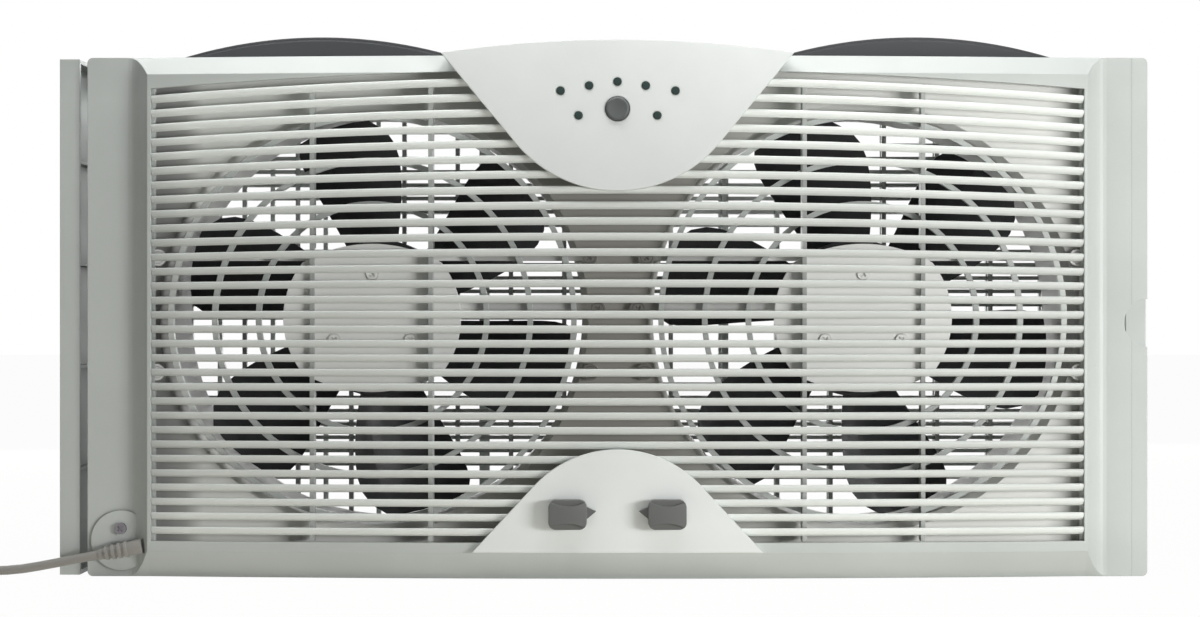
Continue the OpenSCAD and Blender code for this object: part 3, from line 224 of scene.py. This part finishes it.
def metal(name, color, rough=0.32, lines=(900.0, 60.0, 60.0), bump=0.06):
    """Drawn or turned metal: fine streaks in gloss and relief, stretched across lines."""
    m, tree, shader = new_material(name)
    coords = tree.nodes.new("ShaderNodeTexCoord").outputs["Object"]
    stretch = add(tree, "ShaderNodeMapping", [("Scale", lines), ("Vector", coords)]).outputs["Vector"]
    streak = noise(tree, stretch, 1.0, 3.0, 0.6)
    base = ramp(tree, streak, [(0.3, tint(color, 0.86)), (0.7, tint(color, 1.08))])
    gloss = spread(tree, streak, rough - 0.08, rough + 0.12)
    relief = add(tree, "ShaderNodeBump", [("Strength", bump), ("Distance", STREAK_DEPTH), ("Height", streak)])
    wire(tree, shader, [("Base Color", base), ("Metallic", 1.0), ("Roughness", gloss),
                        ("Normal", relief.outputs["Normal"])])
    return m


SHADE_BETWEEN_FANS = (0.34, 0.33, 0.30)      # painted shade: the darker colour that flat faces of the deck and mounts get in the shade between the fans

# painted shade on the body: darker in its hollows, along the bottom strip and at the top edge
BODY = plastic("body_plastic", (0.585, 0.62, 0.60), rough=0.44, hollow=0.85, reach=0.05,
               tones=[("Z", [(0.012, 0.94), (0.03, 1.0), (0.262, 1.0), (0.274, 0.96)])])
# painted light and shade on the grille: darker in hollows, on the ribs and at the left end, lighter on the top and
# bottom slats
GRILLE = plastic("grille_plastic", (0.70, 0.73, 0.705), rough=0.42, edge=0.0004, hollow=0.4, reach=0.03, ribs=True,
                 tones=[("Z", [(0.035, 1.2), (0.06, 1.0), (0.19, 1.0), (0.25, 1.38)]),
                        ("X", [(-0.254, 0.78), (-0.235, 1.0)])])
# painted light and shade on the panels: darker on the lower part of the upper panel, lighter at its top and on the
# lower panel
COVER = plastic("cover_plastic", (0.80, 0.83, 0.82), rough=0.38, edge=0.0009,
                tones=[("Z", [(0.02, 1.05), (0.08, 1.05), (0.20, 0.9), (0.225, 0.93), (0.26, 1.0), (0.29, 1.06)])])
# painted shade on the deck: darker between the fans and at both ends, where the front leaves it in shade
DECK = plastic("deck_plastic", (0.92, 0.92, 0.89), rough=0.55, middle=SHADE_BETWEEN_FANS,
               tones=[("X", [(-0.250, 0.35), (-0.238, 0.5), (-0.228, 1.0), (0.236, 1.0), (0.247, 0.6)])])
# painted shade on the mounts and their screws between the fans
MOUNT = plastic("mount_plastic", (0.93, 0.93, 0.91), rough=0.42, middle=SHADE_BETWEEN_FANS, span=(0.018, 0.03),
                tones=[("X", [(-0.084, 1.0), (-0.078, 0.6), (0.078, 0.6), (0.084, 1.0)])])
BLADE = plastic("blade_plastic", (0.022, 0.023, 0.026), rough=0.36, edge=0.0004, vary=0.12)
GRIP = plastic("grip_plastic", (0.04, 0.043, 0.046), rough=0.5, grain=0.0006, bump=0.2, edge=0.0012)
KNOB = plastic("knob_plastic", (0.13, 0.135, 0.13), rough=0.42, edge=0.0008)
BUTTON = plastic("button_plastic", (0.088, 0.097, 0.096), rough=0.4, edge=0.0008)
LENS = plastic("lens_plastic", (0.016, 0.038, 0.033), rough=0.18, bump=0.02, edge=0.0, specular=0.3, coat=0.15)
CORD = plastic("cord_jacket", (0.31, 0.30, 0.28), rough=0.55, grain=0.0004, bump=0.15, edge=0.0)
BOARD = plastic("circuit_board", (0.02, 0.13, 0.06), rough=0.35, grain=0.0008, bump=0.2, vary=0.25, edge=0.0)
DARK = plastic("dark_plastic", (0.03, 0.03, 0.032), rough=0.45)
STEEL = metal("zinc_steel", (0.55, 0.55, 0.56))
SCREW = metal("dark_screw", (0.19, 0.18, 0.19), rough=0.4)
COPPER = metal("winding_copper", (0.60, 0.27, 0.12), rough=0.38, lines=(60.0, 2500.0, 60.0), bump=0.3)
BRASS = metal("plain_brass", (0.66, 0.50, 0.24), rough=0.3)

MATERIALS = {
    BODY: ["front_housing", "rear_housing", "rear_grille_left", "rear_grille_right", "stile_left", "stile_right",
           "screen_left", "screen_right"],
    GRILLE: ["front_grille"],
    COVER: ["upper_panel", "lower_panel"],
    MOUNT: ["motor_mount_left", "motor_mount_right", "mount_screws", "motor_screws"],
    DECK: ["air_deck"],
    BLADE: ["fan_rotor_left", "fan_rotor_right"],
    DARK: ["rotary_switches", "cord_tie"],
    GRIP: ["handle_left", "handle_right", "rotor_nut_left", "rotor_nut_right"],
    KNOB: ["knob_left", "knob_right"],
    BUTTON: ["power_button"],
    LENS: ["indicator_lenses"],
    BOARD: ["display_board", "power_board"],
    CORD: ["strain_relief", "plug_body"],
    COPPER: ["stator_left", "stator_right"],
    BRASS: ["bushings_left", "bushings_right", "plug_pins"],
    SCREW: ["cord_clamp"],
    STEEL: ["motor_can_left", "motor_can_right", "motor_shaft_left", "motor_shaft_right", "panel_screws",
            "grille_screws", "handle_screws", "board_screws", "housing_screws"],
}
for material, names in MATERIALS.items():
    for n in names:
        mesh = nodes[n].data
        mesh.materials.clear()
        mesh.materials.append(material)

# ---------- cord: the same route as the solids, in millimetres ----------

CORD_D = 5.0
# from the strain relief to the coil
ROUTE = [(-283.6, -56, 12.5), (-288.5, -56, 11.55), (-298, -56, 9.7), (-308, -56, 7.8), (-318, -56, 5.95),
         (-326, -56, 4.7), (-334, -56, 3.95), (-343, -56, 3.7), (-353, -56, 3.7), (-363, -56, 3.7), (-367, -56, 3.7)]
# the coil: turns of a layer, middle, distance of turns and layers, inner radius and layers
COIL_TURNS, COIL_X, COIL_STEP, COIL_IN, LAYERS = 2.15, -372.0, 5.6, 24.2, 4
COIL_OUT = COIL_IN + COIL_STEP * COIL_TURNS
COIL_Y = ROUTE[-1][1] - COIL_OUT
COIL_Z = ROUTE[-1][2]
TURNS = LAYERS * COIL_TURNS
# the tail, which bends inwards from the coil to the plug on top of it: radius, degrees, and where it starts to rise
TAIL_R, TAIL_DEG, TAIL_START = 24.0, 100.0, -25.0
COIL_TOP = COIL_Z + (LAYERS - 1) * COIL_STEP + CORD_D / 2
FIT = 0.3           # clearance between the coil and the plug
PLUG_H = 15
PLUG_Z = COIL_TOP + FIT + PLUG_H / 2


def ease(x):
    c = min(1.0, max(0.0, x))
    return c * c * (3 - 2 * c)


def tail_lift(b):
    return (PLUG_Z - COIL_Z - (LAYERS - 1) * COIL_STEP) * ease((b - TAIL_START) / (TAIL_DEG - TAIL_START))


def coil_point(t):
    """Place after t turns. The layers wind inwards and outwards in turn, and half a turn climbs to the next."""
    m = t % (2 * COIL_TURNS)
    fold = COIL_TURNS - m if m < COIL_TURNS else m - COIL_TURNS
    r = COIL_IN + COIL_STEP * fold
    a = math.radians(90 + 360 * t)
    climb = sum(ease((t - k * COIL_TURNS) * 2 + 0.5) for k in range(1, LAYERS))
    z = COIL_Z + COIL_STEP * climb + tail_lift((t - TURNS) * 360)
    return (COIL_X + r * math.cos(a), COIL_Y + r * math.sin(a), z)


TAIL_A = 90 + 360 * TURNS   # direction in which the coil ends


def tail_point(b):
    """Place b degrees along the tail."""
    a0, a1 = math.radians(TAIL_A), math.radians(TAIL_A + b)
    return (COIL_X + (COIL_OUT - TAIL_R) * math.cos(a0) + TAIL_R * math.cos(a1),
            COIL_Y + (COIL_OUT - TAIL_R) * math.sin(a0) + TAIL_R * math.sin(a1),
            COIL_Z + COIL_STEP * (LAYERS - 1) + tail_lift(b))


PER_TURN = 48       # straight pieces in each turn of the coil
TAIL_STEPS = 16
steps = round(TURNS * PER_TURN)
path = list(ROUTE)
path += [coil_point(i * TURNS / steps) for i in range(steps)]
path += [tail_point(i * TAIL_DEG / TAIL_STEPS) for i in range(TAIL_STEPS + 1)]
end = tail_point(TAIL_DEG)
end_a = math.radians(TAIL_A + TAIL_DEG)
path.append((end[0] - CORD_D * math.sin(end_a), end[1] + CORD_D * math.cos(end_a), end[2]))
path = [tuple(c / 1000 for c in p) for p in path]

curve = bpy.data.curves.new("cord", "CURVE")
curve.dimensions = "3D"
curve.bevel_depth = CORD_D / 2000
curve.bevel_resolution = 4
curve.use_fill_caps = True
spline = curve.splines.new("POLY")
spline.points.add(len(path) - 1)
for point, p in zip(spline.points, path):
    point.co = (*p, 1)
spline.use_smooth = True
cord = bpy.data.objects.new("cord", curve)
scene.collection.objects.link(cord)
curve.materials.append(CORD)
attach(cord, "housing")
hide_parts("power_cord", "cord_coil")

# ---------- floor, world and lamps ----------

FLOOR_SIZE, FLOOR_DROP = 14, 0.0002
FLOOR_GLOW = 0.97       # share of white that the camera and reflections see in the floor
WORLD_LIGHT = 0.04      # strength of the world as light; it is seen as white


def seen(tree, *kinds):
    """1 for rays of any of the kinds."""
    rays = tree.nodes.new("ShaderNodeLightPath")
    value = rays.outputs[kinds[0]]
    for kind in kinds[1:]:
        value = calc(tree, "MAXIMUM", value, rays.outputs[kind])
    return value


def backdrop_material():
    """White where the camera or a reflection sees it, and plain warm pale for the light."""
    m, tree = empty_material("floor_pale")
    coords = tree.nodes.new("ShaderNodeTexCoord").outputs["Object"]
    pale = ramp(tree, noise(tree, coords, 3.0), [(0.3, (0.84, 0.81, 0.73)), (0.7, (0.88, 0.85, 0.77))])
    diffuse = add(tree, "ShaderNodeBsdfDiffuse", [("Color", pale)]).outputs["BSDF"]
    glow = add(tree, "ShaderNodeEmission", [("Strength", 1.0)]).outputs["Emission"]
    share = calc(tree, "MULTIPLY", seen(tree, "Is Camera Ray", "Is Glossy Ray"), FLOOR_GLOW)
    mix = add(tree, "ShaderNodeMixShader", [("Fac", share), (1, diffuse), (2, glow)])
    add(tree, "ShaderNodeOutputMaterial", [("Surface", mix.outputs["Shader"])])
    return m


bpy.ops.mesh.primitive_plane_add(size=FLOOR_SIZE, location=(0, 0, -FLOOR_DROP))
floor = bpy.context.object
floor.name = "floor"
floor.data.materials.append(backdrop_material())

world = bpy.data.worlds.new("studio")
scene.world = world
world.use_nodes = True
tree = world.node_tree
tree.nodes.clear()
soft, white = [add(tree, "ShaderNodeBackground", [("Color", (1, 1, 1, 1)), ("Strength", power)]).outputs[0]
               for power in (WORLD_LIGHT, 1.0)]
share = seen(tree, "Is Camera Ray", "Is Glossy Ray", "Is Transmission Ray")
mix = add(tree, "ShaderNodeMixShader", [("Fac", share), (1, soft), (2, white)])
add(tree, "ShaderNodeOutputWorld", [("Surface", mix.outputs["Shader"])])

# name, place, target, watts, width and height
LAMPS = [
    ("key", (1.05, -0.9, 0.14), (0, 0, 0.14), 10.6, 0.5, 0.2),              # right front, level with the fans
    ("edge", (-0.12, -0.14, 0.62), (-0.05, 0, 0.25), 1.9, 0.8, 0.1),        # close above the front edge
    ("top", (0.3, -0.04, 0.95), (0, 0, 0.2), 2.7, 0.7, 0.12),               # high above, from the right
    ("corner", (-0.35, -0.30, 0.80), (-0.15, 0, 0.2), 0.65, 0.4, 0.2),      # high above the left front
    ("back", (-0.1, 1.1, 0.35), (0, 0, 0.14), 10, 1.6, 0.6),                # behind
]
for name, place, target, watts, width, height in LAMPS:
    data = bpy.data.lights.new(name, "AREA")
    data.shape = "RECTANGLE"
    data.size, data.size_y = width, height
    data.energy = watts
    light = bpy.data.objects.new(name, data)
    light.location = place
    light.rotation_euler = (Vector(target) - Vector(place)).to_track_quat("-Z", "Y").to_euler()
    scene.collection.objects.link(light)

scene.view_settings.view_transform = "Standard"
